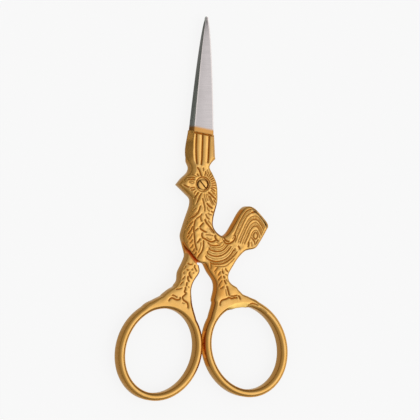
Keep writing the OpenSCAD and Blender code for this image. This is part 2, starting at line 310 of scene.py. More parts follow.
WING_LINES = [
    (DEEP, [(3.85, -14.9), (3.95, -15.9), (4.45, -16.55), (5.1, -16.95)]),
    (MEDIUM, [(1.4, -17.1), (2.1, -17.8), (3.1, -18.15), (4.4, -18.15), (5.6, -17.9)]),
    (FINE, [(4.1, -17.0), (4.8, -17.4), (5.8, -17.3), (6.3, -16.9)]),
    (DEEP, [(6.75, -15.5), (7.0, -16.3), (7.75, -16.9), (8.5, -17.0)]),
    (DEEP, [(6.5, -16.4), (6.95, -17.25), (7.85, -17.65), (8.9, -17.35), (9.8, -16.7),
            (10.3, -15.6), (10.15, -14.9)]),
    (FINE, [(6.2, -15.5), (6.25, -16.1), (6.3, -16.7)]),
    (FINE, [(9.3, -16.3), (9.6, -15.9), (9.75, -15.4)]),
    (FINE, [(3.6, -24.3), (5.2, -24.4), (6.9, -24.3), (8.6, -23.3), (10.0, -21.9)]),
    (DEEP, [(11.15, -18.2), (11.55, -18.8), (11.8, -19.4)]),
    (MEDIUM, [(10.1, -18.9), (10.15, -19.5), (9.9, -20.0)]),
]

# Outermost and innermost of the tail's nested feathers, matched point by point
TAIL_OUTER = [(10.2, -17.2), (11.1, -15.0), (12.1, -12.9), (13.2, -10.7), (14.3, -9.1),
              (15.4, -8.4), (16.6, -8.15), (17.8, -8.75), (18.85, -9.95), (19.7, -11.2),
              (20.1, -12.2)]
TAIL_INNER = [(14.0, -18.0), (14.6, -16.8), (15.1, -15.7), (15.5, -14.8), (16.0, -14.0),
              (16.4, -13.65), (16.8, -13.6), (17.2, -13.9), (17.6, -14.6), (17.9, -15.4),
              (18.1, -16.1)]
TAIL_SHARES = ((TAIL_ROW, 0.0), (FINE, 0.22), (TAIL_ROW, 0.4), (FINE, 0.58), (TAIL_ROW, 0.77),
               (FINE, 1.0))
ROPE_SHARES = ((0.26, 0.38), (0.62, 0.74))
ROPE_STEP = 0.5
ROPE_LEAN = 0.45
TAIL_ROPE = [(9.75, -15.4), (10.5, -13.9), (11.2, -12.3), (12.1, -10.5), (13.0, -9.0),
             (13.8, -8.0), (14.7, -7.5), (15.5, -7.4)]
TAIL_LINES = [
    (MEDIUM, TAIL_ROPE),
    (DEEP, TAIL_OUTER[5:]),
    (MEDIUM, [(16.75, -14.0), (16.2, -14.7), (15.95, -15.3), (16.2, -15.9), (16.6, -16.25),
              (17.05, -16.0), (17.35, -15.4), (17.2, -14.7), (16.8, -14.1)]),
    (MEDIUM, [(15.3, -15.7), (15.9, -16.4), (16.4, -17.1), (16.6, -18.0)]),
    (MEDIUM, [(17.7, -16.3), (17.2, -17.0), (16.9, -17.7)]),
    (DEEP, [(14.45, -16.9), (14.5, -17.8), (14.3, -18.7)]),
    (FINE, [(15.3, -17.0), (15.5, -17.8), (15.5, -18.5)]),
]

RIGHT_LEG_LINES = [
    (FINE, [(6.0, -24.9), (6.2, -25.7)]),
    (DEEP, [(6.1, -25.5), (6.3, -26.1), (6.6, -26.6)]),
    (DEEP, [(6.5, -27.1), (6.75, -27.6), (7.0, -28.0)]),
    (DEEP, [(6.75, -28.3), (7.05, -29.0), (7.4, -29.7)]),
    (DEEP, [(7.5, -30.1), (7.85, -31.0), (8.15, -32.3), (8.5, -33.2)]),
    (MEDIUM, [(4.95, -24.4), (4.3, -25.2), (3.6, -26.0)]),
    (MEDIUM, [(5.6, -25.8), (5.15, -26.5), (4.7, -27.1)]),
    (MEDIUM, [(5.9, -27.2), (5.3, -27.9), (4.7, -28.6)]),
    (MEDIUM, [(6.1, -28.5), (5.5, -29.3), (5.1, -30.1), (4.9, -30.6)]),
    (MEDIUM, [(6.6, -30.2), (6.1, -30.75), (5.3, -31.0)]),
    (FINE, [(4.1, -25.9), (3.7, -26.7)]),
    (MEDIUM, [(7.0, -24.9), (7.5, -25.6), (8.1, -26.0)]),
    (FINE, [(7.0, -26.6), (7.5, -26.9), (8.0, -27.0)]),
    (FINE, [(7.2, -28.0), (7.6, -28.5), (8.0, -28.8)]),
    (MEDIUM, [(2.4, -23.4), (2.6, -24.2), (2.5, -25.2)]),
    (MEDIUM, [(1.3, -24.1), (1.45, -24.6)]),
    (FINE, [(7.2, -31.0), (7.3, -32.2), (7.6, -33.2)]),
    (DEEP, [(5.45, -36.1), (5.5, -35.2), (6.1, -34.45), (6.9, -34.2), (7.7, -33.95), (8.2, -33.65),
            (9.0, -33.95), (10.0, -33.75), (11.0, -33.75)]),
    (MEDIUM, [(8.6, -33.2), (9.4, -33.25), (10.5, -33.05), (11.0, -33.0)]),
    (DEEP, [(11.1, -33.0), (11.6, -33.5), (11.9, -34.3)]),
    (MEDIUM, [(14.2, -36.6), (14.7, -35.9), (15.2, -35.5), (16.3, -35.7), (17.4, -36.1)]),
]
LEFT_LEG_LINES = [
    (MEDIUM, [(-4.9, -23.2), (-4.4, -23.6), (-3.9, -23.7), (-3.2, -23.6)]),
    (MEDIUM, [(-2.45, -23.8), (-2.7, -24.4), (-2.3, -25.1), (-1.9, -25.8)]),
    (MEDIUM, [(-5.2, -24.0), (-5.6, -24.6), (-5.9, -25.0)]),
    (MEDIUM, [(-5.2, -25.0), (-4.9, -25.35), (-4.4, -25.3)]),
    (MEDIUM, [(-3.3, -24.9), (-3.5, -25.5)]),
    (MEDIUM, [(-3.2, -26.0), (-2.95, -26.4)]),
    (DEEP, [(-4.1, -25.8), (-4.3, -26.6), (-3.95, -27.3), (-3.5, -27.9)]),
    (DEEP, [(-4.6, -27.0), (-4.75, -27.9), (-4.55, -28.5), (-4.2, -28.8)]),
    (DEEP, [(-5.0, -28.9), (-5.1, -29.6), (-5.2, -30.2)]),
    (DEEP, [(-5.6, -30.3), (-5.5, -31.0), (-5.8, -31.8), (-5.3, -32.3), (-5.9, -32.9),
            (-6.4, -33.4), (-6.3, -34.0), (-5.5, -34.7), (-4.95, -35.1), (-4.7, -36.0),
            (-4.7, -36.8)]),
    (MEDIUM, [(-6.0, -25.8), (-5.95, -26.6)]),
    (MEDIUM, [(-5.6, -27.1), (-6.1, -27.8), (-6.6, -28.2)]),
    (MEDIUM, [(-6.1, -28.8), (-6.7, -29.3), (-7.2, -29.9)]),
    (FINE, [(-4.6, -30.1), (-4.4, -30.7)]),
    (MEDIUM, [(-6.5, -30.6), (-7.2, -30.9), (-8.0, -31.0), (-8.8, -31.0)]),
    (MEDIUM, [(-9.9, -32.75), (-9.2, -32.85), (-8.5, -33.25), (-8.0, -33.5)]),
    (DEEP, [(-10.8, -34.6), (-10.4, -33.95), (-9.8, -33.6), (-9.1, -33.85), (-8.2, -34.2),
            (-7.4, -34.05), (-7.1, -33.7), (-7.4, -33.35)]),
    (FINE, [(-6.7, -35.0), (-6.2, -35.2), (-5.7, -35.1)]),
]

# Walls that face other gold across a gap, painted redder as painted reflection of that gold, with
# how strong
# it is: the belly over the left leg, the right leg beside the left one, where the rings meet, and
# the tail beside the neck
GAP_REFLECTION_LINES = [
    ([(-6.0, -17.7), (-5.0, -19.0), (-4.3, -19.8)], 0.6),
    ([(-3.9, -20.3), (-3.2, -21.1), (-1.3, -23.3)], 1.0),
    ([(1.6, -23.6), (2.5, -25.9), (3.5, -27.1), (4.7, -28.3), (4.9, -30.4), (4.7, -32.7),
      (4.15, -35.0), (3.9, -37.3), (3.1, -39.6), (2.3, -41.9), (1.2, -44.2), (0.5, -46.5),
      (0.45, -48.5), (0.9, -51.0), (1.7, -53.6)], 0.6),
    ([(1.2, -44.4), (0.5, -46.5), (0.45, -48.5), (0.9, -51.0)], 0.95),
    ([(7.2, -15.6), (8.8, -14.75), (9.9, -12.7), (11.0, -10.4), (12.5, -8.1)], 0.6),
]
GAP_REFLECTION_REACH = (0.6, 0.9)

# Where the gold is redder: painted shade on the chest, and painted reflection of the left leg on the
# right leg's left side
WARM_SHADE_LINES = [
    ([(-3.9, -8.5), (-4.5, -12.0), (-4.5, -16.0), (-3.6, -19.0), (-2.2, -21.3)], 0.9),
    ([(2.6, -24.4), (4.3, -27.0), (5.3, -29.0), (5.4, -32.0)], 0.9),
]
WARM_SHADE_REACH = (0.6, 2.2)

# Darker gold: a painted dark reflection along the tail's right edge, and a darker patch on the wall
# inside the right ring
DARKENED_LINES = [
    ([(15.9, -7.5), (17.0, -8.2), (17.9, -9.2), (19.0, -10.5), (19.7, -11.4), (20.3, -12.7)], 0.8),
    ([(18.2, -36.9), (19.2, -37.3), (20.2, -38.2)], 0.5),
]
DARKENED_REACH = (0.1, 0.45)

# The rubbed bevel inside the top of the right ring
RUBBED_LINES = [([(8.6, -36.5), (10.2, -35.9), (12.4, -35.6), (14.2, -35.8)], 1.0)]
RUBBED_REACH = (0.45, 0.95)

# Small shifts of the outline round the claws and inside the top of the right ring: place, shift
# and reach
CLAW_SHIFTS = [
    ((9.4, -36.5), (0.0, -0.4), 1.2), ((11.5, -36.2), (0.0, -0.42), 1.3),
    ((13.6, -36.3), (0.0, -0.4), 1.2),
    ((-9.0, -30.3), (0.55, 0.0), 0.9), ((-12.9, -33.0), (0.45, 0.0), 1.0),
    ((-16.2, -35.3), (-0.7, 0.1), 1.5), ((10.5, -30.9), (0.3, 0.05), 0.7),
    ((13.2, -33.0), (-0.35, 0.0), 0.9), ((16.6, -34.7), (0.6, 0.05), 1.3),
]

# Line under the collar's upper end, and the flutes from there down
COLLAR_END_LINE = [(-3.0, 15.55), (0.5, 14.95), (4.2, 14.3)]
FLUTES = [
    [(-1.9, 15.6), (-2.1, 10.5), (-1.95, 7.2), (-1.8, 5.9)],
    [(0.05, 15.3), (-0.15, 10.5), (-0.3, 7.2), (-0.5, 5.7)],
    [(2.1, 14.9), (1.9, 10.5), (1.75, 7.6), (1.65, 6.3)],
]

# Lines that colour what lies near them, and how far they reach; the gap, warm and darkened ones
# paint reflection and shade
MARKS = {"gap": (GAP_REFLECTION_LINES, GAP_REFLECTION_REACH), "warm_shade": (WARM_SHADE_LINES, WARM_SHADE_REACH),
         "rubbed": (RUBBED_LINES, RUBBED_REACH), "darkened": (DARKENED_LINES, DARKENED_REACH)}

# Colours of the gold, among them painted shade and painted reflection
GOLD = (0.82, 0.455, 0.125, 1)
GOLD_PALE = (0.88, 0.515, 0.165, 1)
GOLD_SLOPE_SHADE = (0.7, 0.35, 0.075, 1)
GOLD_DEEP = (0.46, 0.26, 0.06, 1)
GOLD_GAP_REFLECTION = (0.42, 0.13, 0.03, 1)
GOLD_GAP_REFLECTION_DEEP = (0.78, 0.3, 0.085, 1)
GOLD_DARKENED = (0.14, 0.09, 0.05, 1)
GOLD_RUBBED = (0.93, 0.6, 0.17, 1)
GOLD_WARM_SHADE = (0.73, 0.34, 0.073, 1)
GOLD_BLADE_FOOT = (0.62, 0.31, 0.09, 1)
GOLD_WALL_SHADE = (0.31, 0.14, 0.033, 1)
GOLD_CONTACT_SHADE = (0.19, 0.12, 0.05, 1)
GOLD_RIM = (1.0, 0.86, 0.62, 1)
GAP_REFLECTION_RIM = (0.85, 0.5, 0.3, 1)
SLOT_SHADE = (0.2, 0.085, 0.015, 1)

# Colours of the steel, with painted shade on facets and a painted highlight on the ridge, and how
# far up the blade the plating runs, with its slant and wander
STEEL = (0.56, 0.515, 0.515, 1)
STEEL_DARK = (0.49, 0.455, 0.455, 1)
STEEL_FACET_SHADE = (0.31, 0.325, 0.29, 1)
STEEL_RIDGE_HIGHLIGHT = (0.85, 0.77, 0.75, 1)
PLATED_Y = (16.8, 17.5)
PLATED_SLANT = 0.157
PLATED_WANDER = 0.6

# Heights between which the colours change, among them painted contact shade, gap reflection and slot
# shade
CONTACT_SHADE_Z = (0.3, 1.1)
GAP_LOW_Z = (0.7, 1.6)
GAP_REFLECTION_Z = (3.75, 4.15)
RUBBED_Z = (3.82, 3.92)
SLOT_SHADE_Z = 4.1

# The normal's share along z, between which a wall turns to a face, for painted shade and highlight
WALL_SHADE_STEEP = (0.38, 0.68)
SLOPE_SHADE_STEEP = (0.74, 0.95)
BLADE_SHADE_STEEP = (0.66, 0.8)
RIDGE_HIGHLIGHT_STEEP = (0.98, 0.995)

# Ranges of a noise or a groove's depth, some with what they are scaled to
GOLD_WORN = (0.42, 0.68)
GOLD_ROUGH = (0.3, 0.7, 0.2, 0.3)
CUT_DARK = (0.08, 0.28, 0, 0.4)
CUT_ROUGH = (0.04, 0.3, 0, 0.18)
GAP_REFLECTION_DEEP = (0.6, 1)
STEEL_WORN = (0.3, 0.7)
STEEL_ROUGH = (0.3, 0.7, 0.2, 0.3)
STEEL_SHEEN = 0.35
SCREW_WORN = (0.4, 0.65)
SCREW_ROUGH = (0.3, 0.7, 0.18, 0.28)

# Noise and wave scales per metre, and the height of the fine bumps
GOLD_CLOUDS = 260
GOLD_GRAIN = 2600
GOLD_BUMP = 0.01 * MM
STEEL_CLOUDS = 180
STEEL_LINES = 900
STEEL_STRETCH = (0.12, 5.0, 0.3)
STEEL_BUMP = 0.006 * MM
SCREW_CLOUDS = 700
SCREW_RINGS = 1200
SCREW_BUMP = 0.004 * MM

# Camera, floor and light. The sky's levels run from behind its brightest point to that point;
# at the horizon it is dimmed, from a height to a height and down to a share.
CAMERA_YAW = math.radians(20)
CAMERA_TARGET = Vector((3.795, -7.587, 0)) * MM
CAMERA_DISTANCE = 1.0
VIEW_WIDTH = 0.12545
SENSOR = 36.0
FLOOR_SIZE = 3.0
FLOOR_Z = -0.00003
FLOOR_COLOUR = (0.95, 0.95, 0.95, 1)
FLOOR_WHITE = 0.85
SKY_AXIS = (0.6, -0.25, 0.76)
SKY_LEVELS = [(0.0, 0.4), (0.3, 0.5), (0.7, 0.5), (0.85, 0.58), (0.9, 0.7), (0.94, 0.87),
              (0.96, 1.03), (0.98, 1.28), (1.0, 1.5)]
SKY_HORIZON = (0.0, 0.55, 0.25)


def node_triangles(name):
    """A CAD node's triangles in mm, by triangle, corner and axis."""
    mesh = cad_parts[name].data
    mesh.calc_loop_triangles()
    points = np.array([v.co for v in mesh.vertices], dtype=float) / MM
    return points[np.array([t.vertices for t in mesh.loop_triangles])]


def cross_section(triangles, height):
    """Closed loops where the triangles cross the plane z = height."""
    above = triangles[:, :, 2] > height
    follow = {}
    for corners in triangles[above.any(axis=1) & ~above.all(axis=1)]:
        ends = {}
        for p, q in zip(corners, following(corners)):
            if (p[2] > height) == (q[2] > height):
                continue
            low, high = (p, q) if p[2] < q[2] else (q, p)
            share = (height - low[2]) / (high[2] - low[2])
            ends[bool(q[2] > height)] = tuple(np.round(low[:2] + share * (high[:2] - low[:2]), 4))
        if ends[True] != ends[False]:
            follow[ends[True]] = ends[False]
    loops = []
    while follow:
        start, point = follow.popitem()
        loop = [start]
        while point != start:
            loop.append(point)
            point = follow.pop(point)
        loops.append(np.array(loop))
    return loops


def following(loop):
    """The point after each one of a closed loop."""
    return np.roll(loop, -1, axis=0)


def lengths(vectors):
    """Length of each vector."""
    return np.linalg.norm(vectors, axis=-1)


def area(loop):
    """Signed area of a closed loop."""
    after = following(loop)
    return 0.5 * np.sum(loop[:, 0] * after[:, 1] - loop[:, 1] * after[:, 0])


def tidy_loop(loop):
    """The loop without repeated points and without points on a straight stretch."""
    loop = loop[lengths(loop - np.roll(loop, 1, axis=0)) > SAME_POINT]
    before = loop - np.roll(loop, 1, axis=0)
    after = following(loop) - loop
    turn = np.abs(before[:, 0] * after[:, 1] - before[:, 1] * after[:, 0])
    turn /= lengths(before) * lengths(after)
    return loop[turn > STRAIGHT]


def below_collar(loop):
    """The part of a closed loop that lies below the collar's upper end."""
    along = COLLAR_RIGHT - COLLAR_LEFT
    height = along[0] * (loop[:, 1] - COLLAR_LEFT[1]) - along[1] * (loop[:, 0] - COLLAR_LEFT[0])
    height -= COLLAR_SLACK * lengths(along)
    kept = []
    for i in range(len(loop)):
        j = (i + 1) % len(loop)
        if height[i] <= 0:
            kept.append(loop[i])
        if (height[i] <= 0) != (height[j] <= 0):
            kept.append(loop[i] + (loop[j] - loop[i]) * height[i] / (height[i] - height[j]))
    return np.array(kept)


def outline(node, height):
    """A half's outline at a height: outer loop and ring hole, with the metal on the left."""
    loops = [tidy_loop(below_collar(loop)) for loop in cross_section(node_triangles(node), height)]
    loops = [loop for loop in loops if np.ptp(loop, axis=0).max() > BORE_LOOP]
    loops.sort(key=lambda loop: -abs(area(loop)))
    return [loop[::-1] for loop in loops] if area(loops[0]) < 0 else loops


def segments(loops):
    """Start and end points of all the segments of the closed loops."""
    return np.vstack(loops), np.vstack([following(loop) for loop in loops])


def to_segments(points, starts, ends):
    """Distance from the points to the segments, and how far along those the nearest place is."""
    run = ends - starts
    share = np.sum((points - starts) * run, axis=-1) / np.maximum(np.sum(run * run, axis=-1), TINY)
    share = np.clip(share, 0, 1)
    return lengths(points - starts - share[..., None] * run), share


def distance_to(points, loops):
    """Distance from each point to the nearest segment of the closed loops."""
    best = np.full(len(points), np.inf)
    for start, end in zip(*segments(loops)):
        best = np.minimum(best, to_segments(points, start, end)[0])
    return best


def curve(knots, step, closed=False, sharp=SHARP_TURN):
    """Points along a smooth curve through the knots, with corners at turns over sharp."""
    knots = np.array(knots, dtype=float)
    n = len(knots)
    after = following(knots) - knots
    length = lengths(after)
    unit = after / length[:, None]
    before_unit, before_length = np.roll(unit, 1, axis=0), np.roll(length, 1)
    slope = unit * before_length[:, None] + before_unit * length[:, None]
    slope /= (length + before_length)[:, None]
    corner = np.sum(unit * before_unit, axis=1) < math.cos(sharp)
    if not closed:
        corner[0] = corner[-1] = True
    samples = []
    for i in range(n if closed else n - 1):
        j = (i + 1) % n
        out_slope = unit[i] if corner[i] else slope[i]
        in_slope = unit[i] if corner[j] else slope[j]
        count = max(1, int(round(length[i] / step)))
        t = (np.arange(count) / count)[:, None]
        samples.append(
            (1 + 2 * t) * (1 - t) ** 2 * knots[i] + t * (1 - t) ** 2 * length[i] * out_slope
            + t * t * (3 - 2 * t) * knots[j] + t * t * (t - 1) * length[i] * in_slope
        )
    if not closed:
        samples.append(knots[-1:])
    return np.vstack(samples)


def inside(points, loops):
    """Which points lie inside the closed loops, counting holes."""
    starts, ends = segments(loops)
    rise = ends[:, 1] - starts[:, 1]
    rise = np.where(rise == 0, 1, rise)
    result = np.zeros(len(points), dtype=bool)
    for chunk in np.array_split(np.arange(len(points)), max(1, len(points) // CHUNK)):
        x, y = points[chunk, 0][:, None], points[chunk, 1][:, None]
        spans = (starts[:, 1] > y) != (ends[:, 1] > y)
        cross = starts[:, 0] + (y - starts[:, 1]) * (ends[:, 0] - starts[:, 0]) / rise
        result[chunk] = np.sum(spans & (x < cross), axis=1) % 2 == 1
    return result


def lattice(loops, step):
    """Points of a triangular lattice that lie inside the loops."""
    starts, ends = segments(loops)
    low, high = starts.min(axis=0), starts.max(axis=0)
    rows = []
    for k, y in enumerate(np.arange(low[1] + ROW_OFFSET, high[1], step * math.sqrt(0.75))):
        spans = (starts[:, 1] > y) != (ends[:, 1] > y)
        a, b = starts[spans], ends[spans]
        crossings = np.sort(a[:, 0] + (y - a[:, 1]) * (b[:, 0] - a[:, 0]) / (b[:, 1] - a[:, 1]))
        x = np.arange(low[0] + (k % 2) * step / 2, high[0], step)
        x = x[np.searchsorted(crossings, x) % 2 == 1]
        rows.append(np.column_stack([x, np.full(len(x), y)]))
    return np.vstack(rows)


def smoothstep(value, low, high):
    """0 below low, 1 above high, and smooth between."""
    t = np.clip((value - low) / (high - low), 0, 1)
    return t * t * (3 - 2 * t)


def left_of(along):
    """Unit vectors to the left of the given directions."""
    along = along / lengths(along)[:, None]
    return np.column_stack([-along[:, 1], along[:, 0]])


def even_edge(points, closed, kind):
    """An edge with the same rounding all along it."""
    return Edge(points, closed, np.tile(kind, (len(points), 1)))


def nearest(points, edges):
    """Distance from each point to the nearest edge, and the rounding there."""
    samples = np.vstack([e.points for e in edges])
    rounding = np.vstack([e.rounding for e in edges])
    before, after, base = [], [], 0
    for e in edges:
        n = len(e.points)
        index = np.arange(n)
        before.append(base + (np.roll(index, 1) if e.closed else np.maximum(index - 1, 0)))
        after.append(base + (np.roll(index, -1) if e.closed else np.minimum(index + 1, n - 1)))
        base += n
    neighbours = (np.concatenate(before), np.concatenate(after))
    distance = np.empty(len(points))
    found = np.empty(len(points), dtype=int)
    squares = np.sum(samples ** 2, axis=1)
    for chunk in np.array_split(np.arange(len(points)), max(1, len(points) // CHUNK)):
        p = points[chunk]
        closest = np.argmin(squares - 2 * p @ samples.T, axis=1)
        distance[chunk] = np.minimum(*(
            to_segments(p, samples[closest], samples[other[closest]])[0] for other in neighbours))
        found[chunk] = closest
    return distance, rounding[found]


def clear_of_rows(points, edges, clearance):
    """The points that keep a clearance from the rows of points along the edges."""
    gap, rounding = nearest(points, edges)
    return points[gap > np.minimum(rounding[:, 0], ROW_REACH) + clearance]


def edge_drops(points, edges, on_edge):
    """How far each point lies below the full face; the first on_edge points lie on the edges."""
    deepest = np.zeros(len(points))
    for e in edges:
        gap, rounding = nearest(points, [e])
        gap[:on_edge] = np.where(gap[:on_edge] < ON_EDGE, 0, gap[:on_edge])
        width, height, dome, bevel = rounding.T
        inner = 1 - np.clip(gap / np.maximum(width, TINY), 0, 1)
        rounded = 1 - np.sqrt(np.clip(1 - inner ** 2, 0, 1))
        fall = height * (bevel * inner + (1 - bevel) * rounded)
        fall += dome * (1 - smoothstep(gap, 0, DOME_REACH)) ** 2
        deepest = np.maximum(deepest, fall)
    return deepest


def groove_rows(grooves, edges, loops):
    """Points along the engraved lines and beside them, so that the mesh follows the cuts."""
    points = []
    for side in (0, -1, 1, -2, 2):
        for (_, width, _, _), knots in grooves:
            line = curve(knots, CURVE_STEP, sharp=NO_CORNER)[::2]
            points += list(line + side * ROW_SHARE * width * left_of(np.gradient(line, axis=0)))
    taken, kept = {}, []
    for n, point in enumerate(points):
        cell = (int(point[0] // ROW_GAP), int(point[1] // ROW_GAP))
        near = [taken.get((cell[0] + i, cell[1] + j)) for i in (-1, 0, 1) for j in (-1, 0, 1)]
        if all(other is None or np.hypot(*(points[other] - point)) >= ROW_GAP for other in near):
            taken[cell] = n
            kept.append(point)
    kept = np.array(kept)
    return clear_of_rows(kept[inside(kept, loops)], edges, ROW_CLEAR)


def clear_of(points, others, reach):
    """The points that lie further than the reach from all the others."""
    tree = KDTree(len(others))
    for n, (x, y) in enumerate(others):
        tree.insert((x, y, 0), n)
    tree.balance()
    return points[[tree.find((x, y, 0))[2] > reach for x, y in points]]


def near_lines(points, lines, reach):
    """How close each point is to the lines: their strength on them, and 0 beyond the reach."""
    result = np.zeros(len(points))
    for line, strength in lines:
        there_and_back = np.array(line + line[-2:0:-1])
        away = distance_to(points, [there_and_back])
        result = np.maximum(result, strength * (1 - smoothstep(away, *reach)))
    return result


def inset_rows(edges):
    """Rows of points just inside the edges, close enough together to draw the rounding."""
    rows = []
    for e in edges:
        if e.closed:
            along = following(e.points) - np.roll(e.points, 1, axis=0)
        else:
            along = np.gradient(e.points, axis=0)
        for place in ROW_PLACES:
            depth = np.minimum(e.rounding[:, 0], ROW_REACH) * place
            points = e.points + left_of(along) * depth[:, None]
            near, _ = nearest(points, edges)
            rows.append(points[(near > NOT_CROSSED * depth) & (depth > LEAST_INSET)])
    return np.vstack(rows)


def blend_along(values, reach=BLEND_POINTS):
    """Values round a closed line, evened out over reach points each way."""
    shifts = range(-reach, reach + 1)
    return sum(np.roll(values, shift, axis=0) for shift in shifts) / len(shifts)


def outline_edges(loops, rule):
    """The edges of outlines: their sides, and the collar's upper end apart from them."""
    edges = []
    across = left_of(np.array([COLLAR_RIGHT - COLLAR_LEFT]))[0]
    for points in loops:
        rounding = rule(points)
        n = len(points)
        at_end = np.flatnonzero(np.abs((points - COLLAR_LEFT) @ across) < COLLAR_NEAR)
        if not len(at_end):
            edges.append(Edge(points, True, rounding))
            continue
        first = next(i for i in at_end if (i - 1) % n not in at_end)
        order = np.roll(np.arange(n), -first)
        sides = np.append(order[len(at_end) - 1:], order[0])
        edges.append(Edge(points[sides], False, rounding[sides]))
        edges.append(even_edge(points[order[:len(at_end)]], False, COLLAR_END))
    return edges


def in_box(points, left, right, low, high):
    """Which points lie between the sides."""
    x, y = points.T
    return (x > left) & (x < right) & (y > low) & (y < high)


def front_rounding(points):
    """Rounding of the decorated face along its outline."""
    values = np.tile(PLAIN_EDGE, (len(points), 1))
    for edge, *box in EDGE_REGIONS:
        values[in_box(points, *box)] = edge
    slope, start = TAIL_LEFT_LINE
    above = points[:, 1] > slope * points[:, 0] + start
    values[in_box(points, *TAIL_LEFT_BOX) & above] = TAIL_LEFT_EDGE
    return blend_along(values)


def rear_rounding(points):
    """Rounding of the plain back along its outline."""
    values = np.tile(UNDER_EDGE, (len(points), 1))
    values[points[:, 1] > COLLAR_FOOT_Y] = COLLAR_EDGE
    return blend_along(values)


def between(first, last, share):
    """The line a share of the way from one list of points to another."""
    return (1 - share) * np.array(first) + share * np.array(last)


def rope_strokes():
    """Slanting cuts across the tail's rope-like feathers."""
    bands = [(TAIL_ROPE, TAIL_OUTER[1:6])]
    bands += [[between(TAIL_OUTER, TAIL_INNER, share) for share in pair] for pair in ROPE_SHARES]
    strokes = []
    for first, last in bands:
        inner, outer = curve(first, CURVE_STEP), curve(last, CURVE_STEP)
        length = len(inner) * CURVE_STEP
        count = int(length / ROPE_STEP)
        for k in range(1, count):
            share = k / count
            lean = min(share + ROPE_LEAN / length, 1)
            a = inner[int(share * (len(inner) - 1))]
            b = outer[int(lean * (len(outer) - 1))]
            strokes.append((TICK, [a, b]))
    return strokes


def front_grooves():
    """All the engraved lines of the front half."""
    grooves = HEAD_LINES + NECK_LINES + WING_LINES + TAIL_LINES + RIGHT_LEG_LINES
    grooves += [(FLUTE, points) for points in FLUTES]
    grooves.append((COLLAR_LINE, COLLAR_END_LINE))
    turns = np.radians(EYE_TURNS)
    ring = np.column_stack([np.cos(turns), np.sin(turns)])
    grooves.append((MEDIUM, np.array(EYE_CENTRE) + EYE_R * ring))
    for angle in np.radians(RAY_ANGLES):
        ray = np.array([math.cos(angle), math.sin(angle)])
        grooves.append((RAY, [reach * ray for reach in RAY_REACH]))
    grooves += [(SHALLOW, between(*rows, 0.5)) for rows in zip(WING_ROWS, WING_ROWS[1:])]
    grooves += [(WING_ROW if k else FINE, row) for k, row in enumerate(WING_ROWS)]
    grooves += [(kind, between(TAIL_OUTER, TAIL_INNER, share)) for kind, share in TAIL_SHARES]
    return grooves + rope_strokes()


def carve(points, grooves):
    """How deep the grooves cut each point, and how far the metal is pillowed down to them."""
    depth, pillow = np.zeros(len(points)), np.zeros(len(points))
    for (deep, width, sink, spread_out), knots in grooves:
        line = curve(knots, CURVE_STEP, sharp=NO_CORNER)
        reach = max(2.6 * width, 3 * spread_out)
        low, high = line.min(axis=0) - reach, line.max(axis=0) + reach
        near = np.flatnonzero(np.all((points > low) & (points < high), axis=1))
        if not len(near):
            continue
        travel = np.arange(len(line)) * CURVE_STEP
        fade = np.clip(np.minimum(travel, travel[::-1]) / (FADE_WIDTHS * width) + FADE_FROM, 0, 1)
        p = points[near]
        squares = np.sum(p ** 2, axis=1)[:, None] + np.sum(line ** 2, axis=1) - 2 * p @ line.T
        closest = np.argmin(squares, axis=1)
        gap = np.sqrt(np.maximum(squares[np.arange(len(p)), closest], 0))
        strength = fade[closest]
        depth[near] = np.maximum(depth[near], deep * strength * np.exp(-(gap / width) ** 2))
        pillow[near] = np.maximum(pillow[near], sink * strength * np.exp(-gap / spread_out))
    return depth, pillow


def waves(points):
    """Slow unevenness of the hand-cut bird, in mm below the face."""
    x, y = points.T
    level, total = 0, 0
    for share, *pair in WAVES:
        level = level + share * np.prod([np.sin(a * x + b * y + c) for a, b, c in pair], axis=0)
        total += share
    bird = smoothstep(y, *BIRD_FOOT_Y) * (1 - smoothstep(y, *BIRD_TOP_Y))
    return WAVE_DEPTH * bird * (level + total) / (2 * total)


def relief(points, edges, on_edge, face):
    """Height of a face at each point, and how deep its grooves cut there."""
    cut, pillow = carve(points, face["grooves"])
    drop = edge_drops(points, edges, on_edge) + cut + pillow
    if face["side"] > 0:
        drop += waves(points)
    return face["height"] - face["side"] * np.minimum(drop, DROP_LIMIT), cut


def loop_pairs(loops):
    """Index pairs of neighbours round each of the loops, whose points are stacked in order."""
    pairs, start = [], 0
    for loop in loops:
        n = len(loop)
        pairs += [(start + i, start + (i + 1) % n) for i in range(n)]
        start += n
    return pairs


def face_triangles(points, loops, walls=()):
    """Triangles that fill the loops, whose points come first, and that follow the walls."""
    lines = loop_pairs(loops) + list(walls)
    result = delaunay_2d_cdt([Vector(p) for p in points], lines, [], 0, MERGE)
    corners = np.array([t for t in result[2] if len(t) == 3])
    origin = [o[0] for o in result[3]]
    if len(result[0]) != len(points) or origin != list(range(len(points))):
        corners = np.array(origin)[corners]
        a, b, c = corners.T
        corners = corners[(a != b) & (b != c) & (a != c)]
    doubtful = np.all(corners < sum(len(loop) for loop in loops), axis=1)
    keep = ~doubtful
    keep[doubtful] = inside(points[corners[doubtful]].mean(axis=1), loops)
    return corners[keep]


def circle(radius):
    """Points round the pivot, clockwise, so that the metal outside it is on their left."""
    turns = -2 * math.pi * np.arange(CIRCLE_STEPS) / CIRCLE_STEPS
    return radius * np.column_stack([np.cos(turns), np.sin(turns)])


def step_chain(base, step_loops):
    """The open line where the full-depth part ends inside the outline."""
    for loop in step_loops:
        away = distance_to(loop, base) > OFF_OUTLINE
        if away.any():
            start = next(i for i in range(len(loop)) if away[i] and not away[i - 1])
            order = np.roll(np.arange(len(loop)), -(start - 1))
            count = next(n for n, i in enumerate(order) if n and not away[i])
            return loop[order[:count + 1]]
    raise ValueError("the outline has no step")


